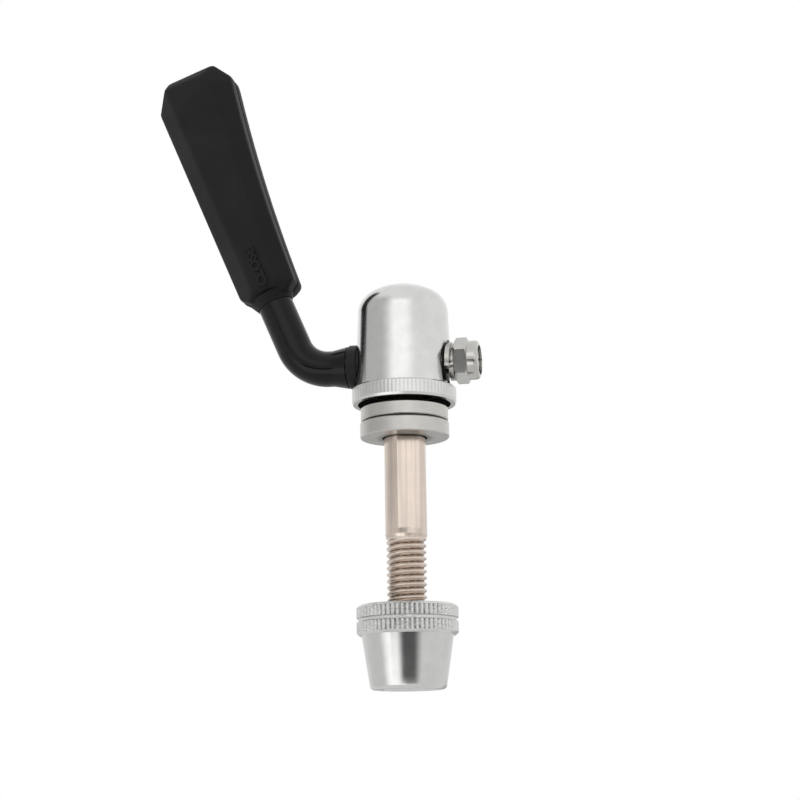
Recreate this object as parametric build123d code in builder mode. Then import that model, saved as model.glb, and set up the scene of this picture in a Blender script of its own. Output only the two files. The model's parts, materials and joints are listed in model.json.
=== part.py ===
from build123d import *
from math import cos, pi, radians, sin, sqrt, tan
import os

# Internal-cam quick-release lever: a bent lever turns an eccentric shaft inside a domed
# housing, and the eccentric draws an eye bolt, with its knurled nut, towards the housing.
#
# Frame: millimetres. The bolt runs along Z, the lever's shaft along X. The origin is where
# the bolt's axis meets the underside of the lower washer, the face that is clamped against.
# The lever stands half way between open and closed.

os.makedirs("parts", exist_ok=True)

# ---- driving dimensions ----------------------------------------------------------------

running_clearance = 0.05      # radial, shaft in bore
press_gap = 0.01              # radial or axial, pieces pressed or screwed together
seat_gap = 0.02               # axial, faces drawn up against each other

# Draw bolt
shank_diameter = 8.2
shank_length = 19.3           # below the origin
shank_flat_depth = 0.65
shank_flat_turn = 22.0        # degrees from -Y towards +X
flat_step = 1.0               # full round left below the flat
thread_diameter = 7.86
neck_diameter = 7.8           # from just below the washers up to the eye
neck_foot = -0.1
thread_runout = 0.6
bolt_reach = 47.0             # origin to the bolt's free end
bolt_end_chamfer = 1.0
eye_diameter = 12.2
eye_thickness = 8.2
eye_plan_diameter = 13.2
eye_slack = 0.3               # round the eccentric in the eye

# Washers, loose on the shank
washer_bore = 8.9
lower_washer_diameter = 17.6
lower_washer_thickness = 3.0
upper_washer_diameter = 17.3
upper_washer_thickness = 2.7
washer_spacing = 0.3
washer_edge = 0.2

# Cam housing
housing_lift = 0.5            # upper washer to the housing's rim
rim_diameter = 20.3
rim_chamfer_height = 0.5
flange_diameter = 20.7
flange_height = 3.5
flange_edge = 0.25
serration_count = 80
serration_depth = 0.12
body_foot_diameter = 19.2
body_draft = 2.05             # degrees
housing_height = 24.8
crown_radius = 13.3
shoulder_radius = 5.0
washer_recess_diameter = 18.4
washer_recess_depth = 2.6
cavity_diameter = 13.8
cavity_headroom = 0.9         # above the eye when the eye is at its highest
pivot_rise = 8.5              # housing's rim to the lever's shaft
lever_spot_face = 9.0         # bolt axis to the spot face on the lever side
stud_spot_face = 8.2          # bolt axis to the spot face on the nut side
lever_spot_face_diameter = 9.4
stud_spot_face_diameter = 8.6

# Lever shaft
journal_diameter = 7.2
eccentric_diameter = 5.0
eccentric_offset = 1.0
eccentric_side_clearance = 0.4
tail_diameter = 5.2           # the nut-side journal
stud_diameter = 5.0
stud_end_chamfer = 0.5
collar_diameter = 8.5
collar_seam_width = 0.3
collar_seam_depth = 0.35
flare_length = 3.1

# Bushes the shaft runs in
lever_bush_diameter = 8.3
lever_bush_flange_diameter = 8.9
lever_bush_flange_thickness = 1.8
stud_bush_diameter = 6.4
stud_bush_flange_diameter = 7.6
stud_bush_flange_thickness = 0.65
bush_edge = 0.15
shaft_end_play = 0.1          # lever's collar to the bush's flange

# Lever rod and bend
rod_diameter = 7.2
bend_radius = 8.0
bend_corner = 20.4            # bolt axis to where the two straight runs would meet
handle_lean = 23.2            # degrees from Z towards -X
rod_reach = 52.0              # along the handle, from the bend corner
rod_end_chamfer = 0.8

# Lock washer and lock nut
lock_washer_bore = 5.3
lock_washer_diameter = 7.7
lock_washer_thickness = 0.85
lock_washer_rise = 0.8        # one end of the split ring above the other
lock_washer_slit = 8.0        # degrees
lock_washer_turn = 212.0      # degrees about X, where the raised end stands
nut_flats = 8.0
nut_hex_height = 2.8
nut_height = 4.8
nut_turn = 13.5               # degrees, one flat looks a little below -Y
nut_chamfer_angle = 30.0
nut_collar_diameter = 7.8
nut_collar_radius = 0.8
nut_lip_diameter = 5.9
nut_lip_thickness = 0.4
insert_diameter = 6.5
insert_thickness = 1.2

# Grip: two shells that meet on the lever's middle plane
# (across the handle, along it from the bend corner), round the outline
grip_shoulder = (11.4, 64.4)
grip_peak = (8.85, 68.7)
grip_crest = (-1.5, 69.3)
grip_left_top = (-5.9, 64.2)
grip_left_foot = (-6.0, 18.9)
grip_foot_left = (-4.0, 16.7)
grip_foot_right = (4.0, 16.0)
grip_right_foot = (6.15, 17.4)
grip_waist = (7.85, 40.0)
facet_left_foot = -2.6        # across, where the left facet meets the broad face
facet_left_top = -3.1
ridge_foot = 2.5              # across, where the broad face meets the right facet
ridge_top = 7.1
depth_left_edge = 2.4         # parting plane to the surface, front shell
depth_left_facet = 4.6
depth_ridge_foot = 4.85
depth_right_edge = 3.9
depth_bevel = 3.3
bevel_width = 1.6
rear_shell_share = 0.9        # the rear shell is this much shallower
grip_edge_radius = 0.5
grip_channel_clearance = 0.04

# Adjusting nut
clamp_opening = 32.9          # lower washer to the nut's top face
adjuster_height = 16.1
adjuster_flange_diameter = 19.7
adjuster_flange_height = 5.8
adjuster_edge = 0.5
knurl_count = 64
knurl_depth = 0.32
knurl_groove_width = 0.5
knurl_groove_depth = 0.35
cone_top_diameter = 17.8
cone_foot_diameter = 14.6
cone_foot_radius = 0.9
adjuster_mouth_diameter = 10.8
adjuster_lead_in = 0.5

# ---- places worked out from them -------------------------------------------------------

upper_washer_bottom = lower_washer_thickness + washer_spacing
washers_top = upper_washer_bottom + upper_washer_thickness
rim_z = washers_top + housing_lift
flange_top = rim_z + flange_height
pivot_z = rim_z + pivot_rise
housing_top = rim_z + housing_height

shaft_axis = Axis((0, 0, pivot_z), (1, 0, 0))
shaft_plane = Plane(origin=(0, 0, pivot_z), x_dir=(0, 1, 0), z_dir=(1, 0, 0))

lean = radians(handle_lean)
handle_foot = Vector(-bend_corner, 0, pivot_z)
across = Vector(cos(lean), 0, sin(lean))
along = Vector(-sin(lean), 0, cos(lean))
# the grip as seen from the front: x runs across the handle, y along it, z towards the front
grip_plane = Plane(origin=handle_foot, x_dir=across, z_dir=(0, -1, 0))

journal_radius = journal_diameter / 2
journal_bore = journal_radius + running_clearance
tail_radius = tail_diameter / 2
tail_bore = tail_radius + running_clearance
eccentric_radius = eccentric_diameter / 2
eccentric_half = eye_thickness / 2 + eccentric_side_clearance
stud_radius = stud_diameter / 2
rod_radius = rod_diameter / 2
cavity_radius = cavity_diameter / 2

lever_bush_face = lever_spot_face + lever_bush_flange_thickness
collar_face = lever_bush_face + shaft_end_play
stud_bush_face = stud_spot_face + stud_bush_flange_thickness
lock_washer_face = stud_bush_face + seat_gap
nut_face = lock_washer_face + lock_washer_thickness + lock_washer_rise + seat_gap
nut_end = nut_face + nut_height
insert_face = nut_end - nut_lip_thickness - insert_thickness


def save(part, node):
    part.label = node
    export_step(part, f"parts/{node}.step")


def teeth(count, crest, depth):
    """Outline of a toothed ring: V grooves, each crest a third of the pitch wide."""
    points = []
    for index in range(count):
        for turn, radius in ((-1 / 6, crest), (1 / 6, crest), (1 / 2, crest - depth)):
            angle = 2 * pi * (index + turn) / count
            points.append((radius * cos(angle), radius * sin(angle)))
    return points


# ---- draw bolt: shank, flat, thread end and the eye the eccentric runs in --------------

shank_radius = shank_diameter / 2
neck_radius = neck_diameter / 2
thread_radius = thread_diameter / 2
thread_top = -shank_length - thread_runout
eye_radius = eye_diameter / 2
eye_hole_radius = eccentric_radius + eye_slack
flat_angle = radians(shank_flat_turn)
flat_normal = Vector(sin(flat_angle), -cos(flat_angle), 0)
flat_plane = Plane(
    origin=flat_normal * (shank_radius - shank_flat_depth),
    x_dir=(cos(flat_angle), sin(flat_angle), 0),
    z_dir=flat_normal,
)
flat_top = pivot_z - eye_radius
flat_foot = -shank_length + flat_step

with BuildPart() as draw_bolt:
    with BuildSketch(Plane.XZ):
        with BuildLine():
            Polyline(
                (0, pivot_z),
                (neck_radius, pivot_z),
                (neck_radius, neck_foot),
                (shank_radius, neck_foot),
                (shank_radius, -shank_length),
                (thread_radius, thread_top),
                (thread_radius, -bolt_reach + bolt_end_chamfer),
                (thread_radius - bolt_end_chamfer, -bolt_reach),
                (0, -bolt_reach),
                close=True,
            )
        make_face()
    revolve(axis=Axis.Z)
    with BuildSketch(flat_plane):
        with Locations((0, (flat_top + flat_foot) / 2)):
            Rectangle(shank_diameter, flat_top - flat_foot)
    extrude(amount=2 * shank_flat_depth, mode=Mode.SUBTRACT)
    # the eye, round in plan as well, so that it drops into the housing's bore
    with BuildSketch(shaft_plane):
        Circle(eye_radius)
    extrude(amount=eye_thickness / 2, both=True)
    with BuildSketch(Plane.XY.offset(-bolt_reach)):
        Circle(eye_plan_diameter / 2)
    extrude(amount=bolt_reach + pivot_z + eye_diameter, mode=Mode.INTERSECT)
    # wide enough across for the eccentric's swing, which the straight-moving bolt can't follow
    with BuildSketch(shaft_plane):
        with Locations((-eccentric_offset / 2, 0)):
            SlotCenterToCenter(eccentric_offset, 2 * eye_hole_radius)
    extrude(amount=eye_thickness, both=True, mode=Mode.SUBTRACT)

save(draw_bolt.part, "draw_bolt")

# ---- washers ---------------------------------------------------------------------------

washers = {
    "lower_washer": (lower_washer_diameter / 2, lower_washer_thickness, 0),
    "upper_washer": (upper_washer_diameter / 2, upper_washer_thickness, upper_washer_bottom),
}
for node, (washer_radius, thickness, bottom) in washers.items():
    with BuildPart() as washer:
        with BuildSketch(Plane.XY.offset(bottom)):
            Circle(washer_radius)
            Circle(washer_bore / 2, mode=Mode.SUBTRACT)
        extrude(amount=thickness)
        outer_wall = washer.faces().filter_by(GeomType.CYLINDER).sort_by(SortBy.RADIUS)[-1]
        chamfer(outer_wall.edges().filter_by(GeomType.CIRCLE), washer_edge)
    save(washer.part, node)

# ---- cam housing -----------------------------------------------------------------------

flange_radius = flange_diameter / 2
body_foot_radius = body_foot_diameter / 2
crown_centre = housing_top - crown_radius
cavity_top = pivot_z + eye_radius + eccentric_offset + cavity_headroom

# the drafted side would meet the crown here, rounded off by the shoulder
draft = tan(radians(body_draft))
corner_radius = body_foot_radius
for _ in range(12):
    corner_z = crown_centre + sqrt(crown_radius**2 - corner_radius**2)
    corner_radius = body_foot_radius - (corner_z - flange_top) * draft
mid_radius = corner_radius / 2
mid_z = crown_centre + sqrt(crown_radius**2 - mid_radius**2)

with BuildPart() as cam_housing:
    with BuildSketch(Plane.XZ) as housing_profile:
        with BuildLine():
            ThreePointArc((0, housing_top), (mid_radius, mid_z), (corner_radius, corner_z))
            Polyline(
                (corner_radius, corner_z),
                (body_foot_radius, flange_top),
                (flange_radius - flange_edge, flange_top),
                (flange_radius, flange_top - flange_edge),
                (flange_radius, rim_z + rim_chamfer_height),
                (rim_diameter / 2, rim_z),
                (0, rim_z),
                (0, housing_top),
            )
        make_face()
        shoulder = housing_profile.vertices().sort_by_distance((corner_radius, corner_z))[0]
        fillet(shoulder, shoulder_radius)
    revolve(axis=Axis.Z)
    # serrations round the flange, between its two edges
    with BuildSketch(Plane.XY.offset(rim_z + rim_chamfer_height)):
        Circle(flange_radius + 1)
        Polygon(*teeth(serration_count, flange_radius, serration_depth), align=None, mode=Mode.SUBTRACT)
    extrude(amount=flange_height - rim_chamfer_height - flange_edge, mode=Mode.SUBTRACT)
    # the cup the washers nest in, and the bore the eye moves in
    with BuildSketch(Plane.XY.offset(rim_z)):
        Circle(washer_recess_diameter / 2)
    extrude(amount=washer_recess_depth, mode=Mode.SUBTRACT)
    with BuildSketch(Plane.XY.offset(rim_z)):
        Circle(cavity_radius)
    extrude(amount=cavity_top - rim_z, mode=Mode.SUBTRACT)
    # spot faces, run down to the flange, and bores for the two bushes
    for side, spot_face, spot_face_diameter, bush_diameter in (
        (-1, lever_spot_face, lever_spot_face_diameter, lever_bush_diameter),
        (1, stud_spot_face, stud_spot_face_diameter, stud_bush_diameter),
    ):
        with BuildSketch(shaft_plane.offset(side * spot_face)):
            Circle(spot_face_diameter / 2)
            with Locations((0, (flange_top - pivot_z) / 2)):
                Rectangle(spot_face_diameter, pivot_z - flange_top)
        extrude(amount=side * flange_radius, mode=Mode.SUBTRACT)
        with BuildSketch(shaft_plane):
            Circle(bush_diameter / 2 + press_gap)
        extrude(amount=side * flange_radius, mode=Mode.SUBTRACT)

save(cam_housing.part, "cam_housing")

# ---- bushes ----------------------------------------------------------------------------

bushes = {
    "lever_bush": (
        -1,
        lever_spot_face,
        lever_bush_diameter / 2,
        journal_bore,
        lever_bush_flange_diameter / 2,
        lever_bush_flange_thickness,
    ),
    "stud_bush": (
        1,
        stud_spot_face,
        stud_bush_diameter / 2,
        tail_bore,
        stud_bush_flange_diameter / 2,
        stud_bush_flange_thickness,
    ),
}
for node, (side, spot_face, sleeve, bore, flange, thickness) in bushes.items():
    with BuildPart() as bush:
        with BuildSketch(Plane.XZ):
            with BuildLine():
                Polyline(
                    (side * cavity_radius, pivot_z + bore),
                    (side * cavity_radius, pivot_z + sleeve),
                    (side * (spot_face + press_gap), pivot_z + sleeve),
                    (side * (spot_face + press_gap), pivot_z + flange),
                    (side * (spot_face + thickness - bush_edge), pivot_z + flange),
                    (side * (spot_face + thickness), pivot_z + flange - bush_edge),
                    (side * (spot_face + thickness), pivot_z + bore),
                    close=True,
                )
            make_face()
        revolve(axis=shaft_axis)
    save(bush.part, node)

# ---- lever arm: bent rod, collar, journals, eccentric and threaded stud, in one piece ---

flare_end = collar_face + collar_seam_width + flare_length
seam_radius = collar_diameter / 2 - collar_seam_depth
stud_end = insert_face + insert_thickness

with BuildPart() as lever_arm:
    with BuildSketch(Plane.XZ):
        with BuildLine():
            Polyline(
                (-flare_end, pivot_z),
                (-flare_end, pivot_z + rod_radius),
                (-collar_face - collar_seam_width, pivot_z + collar_diameter / 2),
                (-collar_face - collar_seam_width, pivot_z + seam_radius),
                (-collar_face, pivot_z + seam_radius),
                (-collar_face, pivot_z + journal_radius),
                (-eccentric_half, pivot_z + journal_radius),
                (-eccentric_half, pivot_z),
                close=True,
            )
        make_face()
    revolve(axis=shaft_axis)
    with BuildSketch(Plane.XZ):
        with BuildLine():
            Polyline(
                (eccentric_half, pivot_z),
                (eccentric_half, pivot_z + tail_radius),
                (stud_bush_face - seat_gap, pivot_z + tail_radius),
                (stud_bush_face - seat_gap, pivot_z + stud_radius),
                (stud_end - stud_end_chamfer, pivot_z + stud_radius),
                (stud_end, pivot_z + stud_radius - stud_end_chamfer),
                (stud_end, pivot_z),
                close=True,
            )
        make_face()
    revolve(axis=shaft_axis)
    with BuildSketch(shaft_plane):
        with Locations((-eccentric_offset, 0)):
            Circle(eccentric_radius)
    extrude(amount=eccentric_half, both=True)
    with BuildLine(Plane.XZ) as rod_line:
        FilletPolyline(
            (-flare_end, pivot_z),
            (-bend_corner, pivot_z),
            (handle_foot.X + rod_reach * along.X, handle_foot.Z + rod_reach * along.Z),
            radius=bend_radius,
        )
    with BuildSketch(Plane(origin=rod_line.line @ 0, z_dir=rod_line.line % 0)):
        Circle(rod_radius)
    sweep()
    rod_end = lever_arm.faces().sort_by(Axis(handle_foot, along))[-1]
    chamfer(rod_end.edges(), rod_end_chamfer)

save(lever_arm.part, "lever_arm")

# ---- split lock washer -----------------------------------------------------------------

slit = lock_washer_slit / 360
lock_washer_pitch = lock_washer_rise / (1 - slit)
lock_washer_middle = (lock_washer_bore + lock_washer_diameter) / 4
lock_washer_width = (lock_washer_diameter - lock_washer_bore) / 2

with BuildPart() as lock_washer:
    with BuildLine() as coil:
        Helix(lock_washer_pitch, lock_washer_rise, lock_washer_middle, lefthand=True)
    with BuildSketch(Plane.XZ):
        with Locations((lock_washer_middle, 0)):
            Rectangle(lock_washer_width, lock_washer_thickness)
    sweep(is_frenet=True)

coil_turn = Rot(0, 0, lock_washer_turn + 360 * (1 - slit))
coil_plane = shaft_plane.offset(lock_washer_face + lock_washer_thickness / 2)
save(coil_plane.location * coil_turn * lock_washer.part, "lock_washer")

# ---- lock nut: hexagon, collar crimped over a nylon insert -----------------------------

nut_corner_radius = nut_flats / sqrt(3)
nut_face_radius = nut_flats / 2 - 0.1
chamfer_drop = (nut_corner_radius - nut_face_radius) * tan(radians(nut_chamfer_angle))
collar_radius = nut_collar_diameter / 2
insert_radius = insert_diameter / 2
nut_bore = stud_radius + press_gap

with BuildPart() as lock_nut:
    with BuildSketch(shaft_plane.offset(nut_face)):
        RegularPolygon(nut_corner_radius, 6, rotation=30 + nut_turn)
    extrude(amount=nut_hex_height)
    with BuildSketch(Plane.XZ) as nut_profile:
        with BuildLine():
            Polyline(
                (nut_face, pivot_z),
                (nut_face, pivot_z + nut_face_radius),
                (nut_face + chamfer_drop, pivot_z + nut_corner_radius),
                (nut_face + nut_hex_height - chamfer_drop, pivot_z + nut_corner_radius),
                (nut_face + nut_hex_height, pivot_z + nut_face_radius),
                (nut_face + nut_hex_height, pivot_z),
                close=True,
            )
        make_face()
    revolve(axis=shaft_axis, mode=Mode.INTERSECT)
    with BuildSketch(Plane.XZ) as collar_profile:
        with BuildLine():
            Polyline(
                (nut_face + nut_hex_height - 0.5, pivot_z),
                (nut_face + nut_hex_height - 0.5, pivot_z + collar_radius),
                (nut_end, pivot_z + collar_radius),
                (nut_end, pivot_z),
                close=True,
            )
        make_face()
        crimp = collar_profile.vertices().sort_by_distance((nut_end, pivot_z + collar_radius))[0]
        fillet(crimp, nut_collar_radius)
    revolve(axis=shaft_axis)
    with BuildSketch(shaft_plane.offset(nut_face)):
        Circle(nut_bore)
    extrude(amount=nut_height, mode=Mode.SUBTRACT)
    with BuildSketch(shaft_plane.offset(insert_face)):
        Circle(insert_radius)
    extrude(amount=insert_thickness, mode=Mode.SUBTRACT)
    with BuildSketch(shaft_plane.offset(insert_face)):
        Circle(nut_lip_diameter / 2)
    extrude(amount=nut_end - insert_face, mode=Mode.SUBTRACT)

save(lock_nut.part, "lock_nut")

with BuildPart() as lock_nut_insert:
    with BuildSketch(shaft_plane.offset(insert_face + press_gap)):
        Circle(insert_radius - press_gap)
        Circle(nut_bore, mode=Mode.SUBTRACT)
    extrude(amount=insert_thickness - 2 * press_gap)

save(lock_nut_insert.part, "lock_nut_insert")

# ---- grip: each shell is the outline raised to the ridge, then cut back to flat facets --


def grip_point(x, y, depth):
    return grip_plane.from_local_coords(Vector(x, y, depth))


def facet(first, second, third, toward):
    """Plane through three points of the front shell, carried over to the side asked for."""
    spots = [grip_point(x, y, depth * toward) for x, y, depth in (first, second, third)]
    normal = (spots[1] - spots[0]).cross(spots[2] - spots[0]).normalized()
    outward = Vector(0, -toward, 0)
    return Plane(origin=spots[0], z_dir=normal if normal.dot(outward) > 0 else normal * -1)


foot = grip_foot_right[1]
top = grip_peak[1]
broad_slope = (depth_ridge_foot - depth_left_facet) / (ridge_foot - facet_left_foot)
depth_ridge_top = depth_left_facet + broad_slope * (ridge_top - facet_left_top)
ridge_start = (ridge_foot, foot, depth_ridge_foot)
ridge_end = (ridge_top, top, depth_ridge_top)

facets = {
    "left": (
        (*grip_left_foot, depth_left_edge),
        (*grip_left_top, depth_left_edge),
        (facet_left_foot, foot, depth_left_facet),
    ),
    "broad": (
        (facet_left_foot, foot, depth_left_facet),
        (facet_left_top, top, depth_left_facet),
        ridge_start,
    ),
    "right": (
        ridge_start,
        ridge_end,
        (*grip_right_foot, depth_right_edge),
    ),
    "crest": (
        (*grip_crest, depth_bevel),
        (*grip_peak, depth_bevel),
        (0, top - bevel_width, depth_ridge_top),
    ),
    "shoulder": (
        (*grip_peak, depth_bevel),
        (*grip_shoulder, depth_bevel),
        (ridge_top, grip_shoulder[1], depth_ridge_top),
    ),
    "foot": (
        (*grip_foot_left, depth_bevel),
        (*grip_foot_right, depth_bevel),
        (0, foot + 1.5 * bevel_width, depth_ridge_foot),
    ),
}

for node, toward, share in (("grip_front_shell", 1, 1), ("grip_rear_shell", -1, rear_shell_share)):
    with BuildPart() as shell:
        with BuildSketch(grip_plane.offset(toward * press_gap)):
            with BuildLine():
                ThreePointArc(grip_right_foot, grip_waist, grip_shoulder)
                Polyline(
                    grip_shoulder,
                    grip_peak,
                    grip_crest,
                    grip_left_top,
                    grip_left_foot,
                    grip_foot_left,
                    grip_foot_right,
                    grip_right_foot,
                )
            make_face()
        extrude(amount=toward * (depth_ridge_top + 1))
        for first, second, third in facets.values():
            split(bisect_by=facet(first, second, third, toward * share), keep=Keep.BOTTOM)
        parting_edges = shell.faces().sort_by(Axis.Y)[-1 if toward > 0 else 0].edges()
        fillet([edge for edge in shell.edges() if edge not in parting_edges], grip_edge_radius)
        # the channel the rod is held in
        with BuildSketch(Plane(origin=handle_foot, z_dir=along)):
            Circle(rod_radius + grip_channel_clearance)
        extrude(amount=rod_reach + seat_gap, mode=Mode.SUBTRACT)
    save(shell.part, node)

# ---- adjusting nut: two rows of straight knurls over a cone -----------------------------

adjuster_top = -clamp_opening
adjuster_foot = adjuster_top - adjuster_height
adjuster_radius = adjuster_flange_diameter / 2
flange_foot = adjuster_top - adjuster_flange_height
groove_top = adjuster_top - (adjuster_flange_height - knurl_groove_width) / 2
groove_foot = groove_top - knurl_groove_width
groove_radius = adjuster_radius - knurl_groove_depth
knurl_row_height = (adjuster_flange_height - knurl_groove_width - knurl_groove_depth) / 2 - adjuster_edge
adjuster_bore = thread_radius + running_clearance
mouth_radius = adjuster_mouth_diameter / 2
cone_foot_point = (cone_foot_diameter / 2, adjuster_foot)

with BuildPart() as adjusting_nut:
    with BuildSketch(Plane.XZ) as adjuster_profile:
        with BuildLine():
            Polyline(
                (adjuster_bore + adjuster_lead_in, adjuster_top),
                (adjuster_radius - adjuster_edge, adjuster_top),
                (adjuster_radius, adjuster_top - adjuster_edge),
                (adjuster_radius, groove_top + knurl_groove_depth / 2),
                (groove_radius, groove_top),
                (groove_radius, groove_foot),
                (adjuster_radius, groove_foot - knurl_groove_depth / 2),
                (adjuster_radius, flange_foot + adjuster_edge),
                (adjuster_radius - adjuster_edge, flange_foot),
                (cone_top_diameter / 2, flange_foot),
                cone_foot_point,
                (mouth_radius, adjuster_foot),
                (adjuster_bore, adjuster_foot + mouth_radius - adjuster_bore),
                (adjuster_bore, adjuster_top - adjuster_lead_in),
                close=True,
            )
        make_face()
        fillet(adjuster_profile.vertices().sort_by_distance(cone_foot_point)[0], cone_foot_radius)
    revolve(axis=Axis.Z)
    for row_foot in (flange_foot + adjuster_edge, groove_top + knurl_groove_depth / 2):
        with BuildSketch(Plane.XY.offset(row_foot)):
            Circle(adjuster_radius + 1)
            Polygon(*teeth(knurl_count, adjuster_radius, knurl_depth), align=None, mode=Mode.SUBTRACT)
        extrude(amount=knurl_row_height, mode=Mode.SUBTRACT)

save(adjusting_nut.part, "adjusting_nut")
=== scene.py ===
# %% [markdown]
# # A cam lever, dressed for the studio
# A bent handle turns an eccentric inside a domed housing, and the eccentric draws a bolt
# with a knurled cone nut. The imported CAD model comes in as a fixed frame, and this lesson
# gives its pieces their smooth edges, their thread, their lettering and their finishes.
# The frame is loaded first, because every piece rides on one of its bodies. Blender
# counts in metres, so a length that is written in millimetres is multiplied by MM.

# %% Load the frame
import json
import math

import bmesh
import bpy
from mathutils import Matrix, Vector


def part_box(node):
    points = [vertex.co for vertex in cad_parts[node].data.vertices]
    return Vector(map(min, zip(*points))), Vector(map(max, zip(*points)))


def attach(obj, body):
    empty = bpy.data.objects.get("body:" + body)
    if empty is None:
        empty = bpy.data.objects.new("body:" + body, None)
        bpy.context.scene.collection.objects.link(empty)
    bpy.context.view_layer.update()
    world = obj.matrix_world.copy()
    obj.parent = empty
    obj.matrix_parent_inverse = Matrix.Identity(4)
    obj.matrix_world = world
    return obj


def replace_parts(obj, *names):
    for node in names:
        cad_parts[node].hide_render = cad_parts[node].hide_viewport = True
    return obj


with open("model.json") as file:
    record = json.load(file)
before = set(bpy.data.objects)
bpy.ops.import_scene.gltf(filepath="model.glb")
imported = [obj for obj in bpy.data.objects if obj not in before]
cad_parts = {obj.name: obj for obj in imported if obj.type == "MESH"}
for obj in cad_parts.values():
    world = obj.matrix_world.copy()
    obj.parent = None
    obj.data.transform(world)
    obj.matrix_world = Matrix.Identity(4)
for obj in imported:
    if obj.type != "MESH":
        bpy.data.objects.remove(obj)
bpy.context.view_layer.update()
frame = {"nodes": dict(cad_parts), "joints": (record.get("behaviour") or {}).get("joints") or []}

MM = 0.001
nodes = frame["nodes"]
scene = bpy.context.scene


def box_mm(node):
    """A CAD node's lowest and highest corner, in millimetres."""
    low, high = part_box(node)
    return low / MM, high / MM


# %% [markdown]
# ## Shader arithmetic
# A finish is a recipe of numbers that change over a surface. Writing it as plain sums is
# easier to read than a page of node links, so one small class wraps a socket and turns
# each operator into a Math node. A second class, `Recipe`, adds any other node.

# %% A socket that can be added and multiplied


class Wire:
    """An output socket in a node tree, with arithmetic."""

    def __init__(self, tree, socket):
        self.tree = tree
        self.socket = socket

    def math(self, operation, *values):
        inputs = dict(enumerate(values))
        return Recipe(self.tree).node("ShaderNodeMath", {"operation": operation}, inputs)

    def __add__(self, other):
        return self.math("ADD", self, other)

    def __sub__(self, other):
        return self.math("SUBTRACT", self, other)

    def __rsub__(self, other):
        return self.math("SUBTRACT", other, self)

    def __mul__(self, other):
        return self.math("MULTIPLY", self, other)

    def __truediv__(self, other):
        return self.math("DIVIDE", self, other)

    def __rtruediv__(self, other):
        return self.math("DIVIDE", other, self)

    def __pow__(self, other):
        return self.math("POWER", self, other)

    __radd__ = __add__
    __rmul__ = __mul__

    def over(self, edge):
        """1 where this is over the edge, 0 elsewhere."""
        return self.math("GREATER_THAN", self, edge)

    def ramp(self, low, high, to_low=0.0, to_high=1.0):
        """Smoothly carries low..high over to to_low..to_high."""
        settings = {"interpolation_type": "SMOOTHSTEP"}
        inputs = {
            "Value": self,
            "From Min": low,
            "From Max": high,
            "To Min": to_low,
            "To Max": to_high,
        }
        return Recipe(self.tree).node("ShaderNodeMapRange", settings, inputs)

    def past(self, edge, full=1.0):
        """Fades in over an edge, which is a pair of values, from nothing to full."""
        return self.ramp(*edge, 0.0, full)

    def short_of(self, edge, full=1.0):
        """Fades out over an edge, from full to nothing."""
        return self.ramp(*edge, full, 0.0)

    def between(self, low, high, soft=0.1):
        """Full from low to high, and faded out a soft distance beyond them."""
        return self.past((low - soft, low)) * self.short_of((high, high + soft))


print("wire ready")

# %% A recipe, which adds nodes to a tree


class Recipe:
    """Adds nodes to a tree."""

    def __init__(self, tree):
        self.tree = tree

    def node(self, kind, settings=None, inputs=None, output=0):
        made = self.tree.nodes.new(kind)
        for name, value in (settings or {}).items():
            setattr(made, name, value)
        for name, value in (inputs or {}).items():
            if isinstance(value, Wire):
                self.tree.links.new(value.socket, made.inputs[name])
            else:
                made.inputs[name].default_value = value
        return Wire(self.tree, made.outputs[output])


print("recipe ready")

# %% [markdown]
# ## What every finish is made of
# Each finish is one Principled shader. What is the same all over a piece goes straight on
# the shader's own sockets, and what changes comes in as a wire. Patterns are measured in
# millimetres from the piece's own origin, so that they stay put when the piece moves.

# %% A material, with its constants on the shader's own sockets


def finish(name, constants, varying):
    """A Principled material. `varying` is given the recipe and returns {socket: Wire}."""
    material = bpy.data.materials.new(name)
    material.use_nodes = True
    tree = material.node_tree
    shader = tree.nodes["Principled BSDF"]
    for socket, value in constants.items():
        shader.inputs[socket].default_value = value
    for socket, wire in varying(Recipe(tree)).items():
        tree.links.new(wire.socket, shader.inputs[socket])
    return material


print("finish ready")

# %% Places, noise, relief and mixed colours
NOISE_ROUGHNESS = 0.6
CLOUD_EDGES = (0.3, 0.7)


def place(recipe, axis=None):
    """The point on the piece, or one of its coordinates, in millimetres."""
    metres = recipe.node("ShaderNodeTexCoord", output="Object")
    scaled = {0: metres, "Scale": 1 / MM}
    spot = recipe.node("ShaderNodeVectorMath", {"operation": "SCALE"}, scaled)
    if axis is None:
        return spot
    return recipe.node("ShaderNodeSeparateXYZ", None, {0: spot}, output=axis)


def noise(recipe, per_mm, detail=2.0, stretch=(1, 1, 1), offset=(0, 0, 0)):
    """Noise about 0.5, so many waves to the millimetre; stretch squeezes it along each axis."""
    mapping = {"Vector": place(recipe), "Scale": stretch, "Location": offset}
    inputs = {
        "Vector": recipe.node("ShaderNodeMapping", None, mapping),
        "Scale": per_mm,
        "Detail": detail,
        "Roughness": NOISE_ROUGHNESS,
    }
    return recipe.node("ShaderNodeTexNoise", {"normalize": True}, inputs, output="Fac")


def about(middle, cloud, spread):
    """A value that drifts about its middle, as a noise does about a half."""
    return (cloud - 0.5) * spread + middle


def bumped(recipe, height, depth_mm, onto=None):
    """A normal whose relief is height (0 to 1) times depth, on top of another relief."""
    inputs = {"Height": height, "Strength": 1.0, "Distance": depth_mm * MM}
    if onto:
        inputs["Normal"] = onto
    return recipe.node("ShaderNodeBump", None, inputs)


def mixed(recipe, share, first, second):
    """A colour between first and second, each of them a colour or a wire."""
    first, second = (end if isinstance(end, Wire) else (*end, 1) for end in (first, second))
    # a Mix node's colours have the same names as its numbers, so they go by their places
    inputs = {0: share, 6: first, 7: second}
    return recipe.node("ShaderNodeMix", {"data_type": "RGBA"}, inputs, output=2)


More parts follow.
